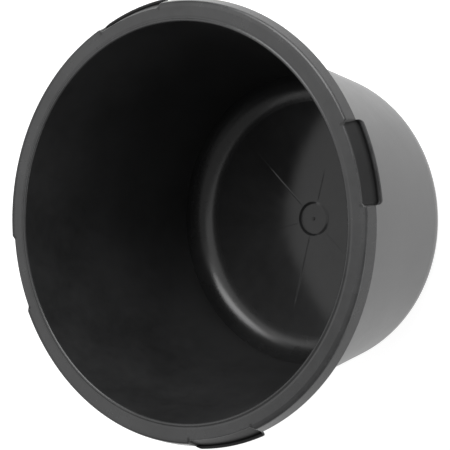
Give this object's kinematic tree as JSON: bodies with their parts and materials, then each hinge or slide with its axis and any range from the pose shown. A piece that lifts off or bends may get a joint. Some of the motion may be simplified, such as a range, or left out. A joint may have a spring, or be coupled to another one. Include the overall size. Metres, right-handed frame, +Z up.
{
  "type": "mortar tub",
  "caption": "Round tapered mixing tub moulded in black plastic, with a wide rim, a turned-down skirt, recessed hand grips and a rounded base corner.",
  "frame": {"origin": "centre of the plane the tub stands on", "axes": "+Z up along the tub axis, towards the mouth; +X and +Y through the middle of two neighbouring grips"},
  "size_m": [0.6948, 0.6948, 0.412],
  "materials": {
    "tub_plastic": "satin black recycled polyethylene, faintly grained"
  },
  "bodies": {
    "root": {"floor_panel": "tub_plastic", "gate_disc": "tub_plastic", "gate_pip": "tub_plastic", "floor_rib_1": "tub_plastic", "floor_rib_2": "tub_plastic", "floor_rib_3": "tub_plastic", "floor_rib_4": "tub_plastic", "floor_rib_5": "tub_plastic", "floor_rib_6": "tub_plastic", "foot_ring": "tub_plastic", "corner_ring": "tub_plastic", "side_wall": "tub_plastic", "rim_ring": "tub_plastic", "rim_skirt_1": "tub_plastic", "rim_skirt_2": "tub_plastic", "rim_skirt_3": "tub_plastic", "rim_skirt_4": "tub_plastic", "grip_scoop_1": "tub_plastic", "grip_lip_1": "tub_plastic", "grip_end_1_right": "tub_plastic", "grip_end_1_left": "tub_plastic", "grip_scoop_2": "tub_plastic", "grip_lip_2": "tub_plastic", "grip_end_2_right": "tub_plastic", "grip_end_2_left": "tub_plastic", "grip_scoop_3": "tub_plastic", "grip_lip_3": "tub_plastic", "grip_end_3_right": "tub_plastic", "grip_end_3_left": "tub_plastic", "grip_scoop_4": "tub_plastic", "grip_lip_4": "tub_plastic", "grip_end_4_right": "tub_plastic", "grip_end_4_left": "tub_plastic"}
  },
  "joints": []
}
